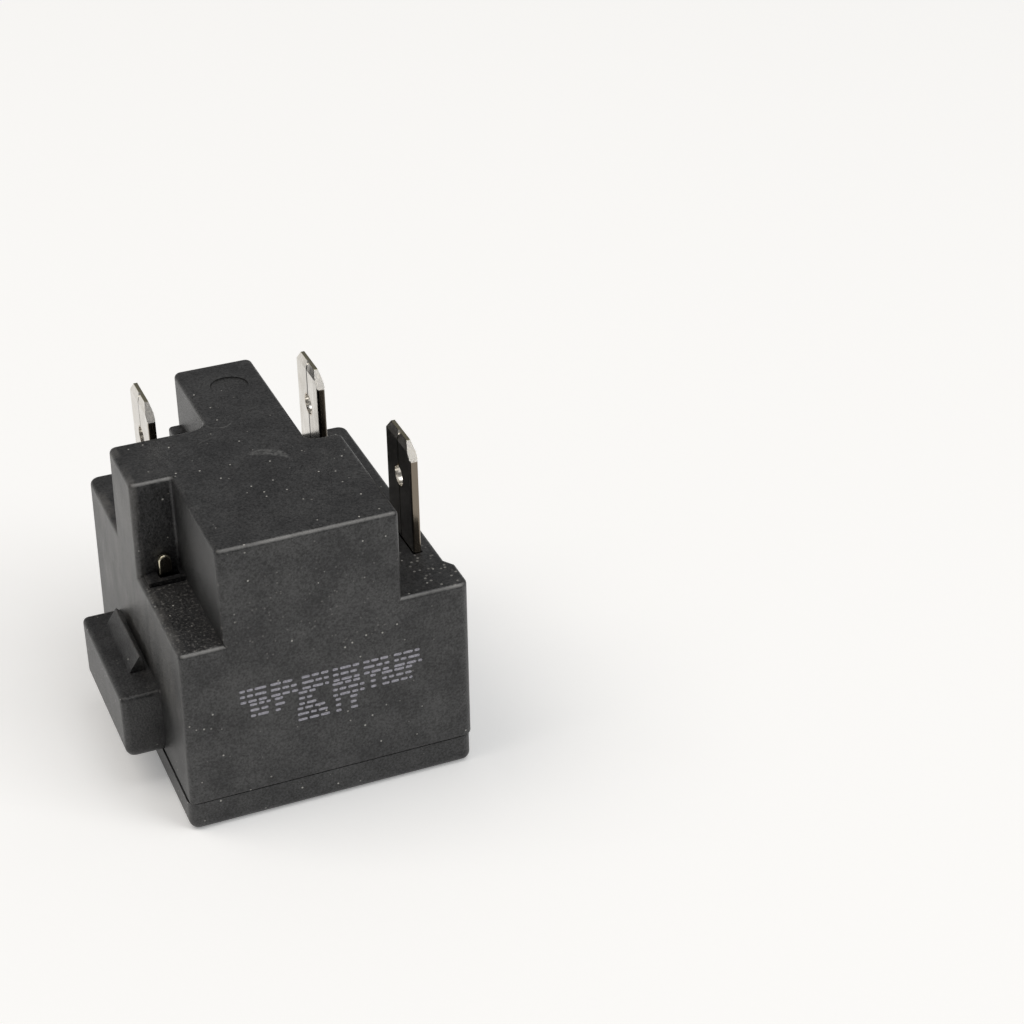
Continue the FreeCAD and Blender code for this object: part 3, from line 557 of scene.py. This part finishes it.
ceramic, tree, shader = material("sprayed_aluminium_on_ceramic", {"Metallic": 0.6})
place = add(tree, "ShaderNodeTexCoord", {}).outputs["Object"]
splash_size = 0.18 * mm
splashes = add(tree, "ShaderNodeTexVoronoi", {
    "Vector": place, "Scale": 1 / splash_size,
}).outputs["Distance"]
colour = add(tree, "ShaderNodeMix", {
    0: splashes, 6: linear("#b4b2ac"), 7: linear("#7d7a74"),
}, data_type="RGBA").outputs[2]
relief = add(tree, "ShaderNodeBump", {
    "Height": splashes, "Strength": 0.6, "Distance": 0.02 * mm,
}).outputs["Normal"]
gloss = add(tree, "ShaderNodeMapRange", {
    "Value": splashes, "To Min": 0.45, "To Max": 0.7,
}).outputs["Result"]
tree.links.new(colour, shader.inputs["Base Color"])
tree.links.new(relief, shader.inputs["Normal"])
tree.links.new(gloss, shader.inputs["Roughness"])
for node in ("ptc_disc", "pilot_thermistor"):
    dress(node, ceramic)


# Insulating sheets: mica flakes pressed with a resin into thin board, which stand behind the
# contact leaves. The flakes give a silky amber patchwork.

mica, tree, shader = material("pressed_mica_board", {"IOR": 1.56})
place = add(tree, "ShaderNodeTexCoord", {}).outputs["Object"]
flake_size = 1.4 * mm
flakes = add(tree, "ShaderNodeTexVoronoi", {
    "Vector": place, "Scale": 1 / flake_size,
}).outputs["Color"]
flake = add(tree, "ShaderNodeSeparateColor", {"Color": flakes}).outputs["Red"]
colour = add(tree, "ShaderNodeMix", {
    0: flake, 6: linear("#b09a6c"), 7: linear("#d8c79a"),
}, data_type="RGBA").outputs[2]
gloss = add(tree, "ShaderNodeMapRange", {
    "Value": flake, "To Min": 0.25, "To Max": 0.5,
}).outputs["Result"]
tree.links.new(colour, shader.inputs["Base Color"])
tree.links.new(gloss, shader.inputs["Roughness"])
for node in ("left_insulator", "right_insulator"):
    dress(node, mica)


# Triac: the switch that feeds the start winding. Its body is transfer-moulded black epoxy,
# and its back plate and leads are copper dipped in tin.

epoxy, tree, shader = material("moulded_black_epoxy", {"IOR": 1.55})
place = add(tree, "ShaderNodeTexCoord", {}).outputs["Object"]
filler_size = 0.15 * mm
filler = add(tree, "ShaderNodeTexNoise", {
    "Vector": place, "Scale": 1 / filler_size, "Detail": 2.0,
}).outputs["Fac"]
colour = add(tree, "ShaderNodeMix", {
    0: filler, 6: linear("#1b1b1c"), 7: linear("#333334"),
}, data_type="RGBA").outputs[2]
gloss = add(tree, "ShaderNodeMapRange", {
    "Value": filler, "To Min": 0.35, "To Max": 0.6,
}).outputs["Result"]
tree.links.new(colour, shader.inputs["Base Color"])
tree.links.new(gloss, shader.inputs["Roughness"])
dress("triac_body", epoxy)
dipped_tin = rolled_strip(
    "copper_dipped_in_tin", "#dcd8d0", "#aaa59b", 2, 0.3 * mm, (0.25, 0.4), 0.01 * mm
)[0]
for node in ("triac_back_plate", "triac_leads"):
    dress(node, dipped_tin)


# Stage: a pale table top that the block stands on, seen from above, so it fills the view.
# It is one square sheet, a hair below the block so that the two surfaces don't flicker.

half = 3.0
z = -0.02 * mm
corners = [(-half, -half, z), (half, -half, z), (half, half, z), (-half, half, z)]
sheet = bpy.data.meshes.new("floor")
sheet.from_pydata(corners, [], [(0, 1, 2, 3)])
floor = bpy.data.objects.new("floor", sheet)
bpy.context.scene.collection.objects.link(floor)
pale, tree, shader = material("pale_table", {
    "Base Color": linear("#f7f7f6"), "Roughness": 0.9, "Specular IOR Level": 0.1,
    "Emission Color": linear("#ffffff"),
})
# The table shows almost white to the camera and in reflections, and keeps the block's shadow
rays = add(tree, "ShaderNodeLightPath", {}).outputs
seen = add(tree, "ShaderNodeMath", {
    0: rays["Is Camera Ray"], 1: rays["Is Glossy Ray"],
}, operation="ADD").outputs[0]
seen = add(tree, "ShaderNodeMath", {
    0: seen, 1: rays["Is Transmission Ray"],
}, operation="ADD", use_clamp=True).outputs[0]
lift = 0.2
tree.links.new(both(tree, seen, lift), shader.inputs["Emission Strength"])
floor.data.materials.append(pale)

world = bpy.data.worlds.new("studio")
bpy.context.scene.world = world
world.use_nodes = True
sky = world.node_tree.nodes["Background"].inputs
sky["Color"].default_value = linear("#ffffff")
sky["Strength"].default_value = 0.27


def softbox(name, place, size, watts, colour):
    """An oblong lamp that faces the block, its longer side towards the table's back."""
    lamp = bpy.data.lights.new(name, "AREA")
    lamp.shape = "RECTANGLE"
    lamp.size, lamp.size_y = size
    lamp.energy = watts
    lamp.color = linear(colour)[:3]
    holder = bpy.data.objects.new(name, lamp)
    holder.location = place
    holder.rotation_euler = (-Vector(place)).to_track_quat("-Z", "Y").to_euler()
    bpy.context.scene.collection.objects.link(holder)


softbox("strip_overhead", (0.55, -0.6, 1.3), (0.6, 2.0), 10.5, "#ffffff")
softbox("fill_from_left", (-0.7, 0.2, 1.3), (1.0, 1.0), 7.5, "#fff9f2")


# Camera: a long lens above the front left of the block, tipped a little to the left.

right = Vector((0.92315, -0.38420, -0.01333))
up = Vector((0.20847, 0.47118, 0.85705))
back = right.cross(up)
spot = Vector((-47.25, -177.22, 130.65)) * mm
turn = Matrix((right, up, back)).transposed().to_4x4()
lens = bpy.data.cameras.new("camera")
lens.sensor_width = 36.0
lens.lens = 80.09
lens.clip_start = 0.01
camera = bpy.data.objects.new("camera", lens)
camera.matrix_world = Matrix.Translation(spot) @ turn
bpy.context.scene.collection.objects.link(camera)
bpy.context.scene.camera = camera
bpy.context.scene.view_settings.view_transform = "Standard"
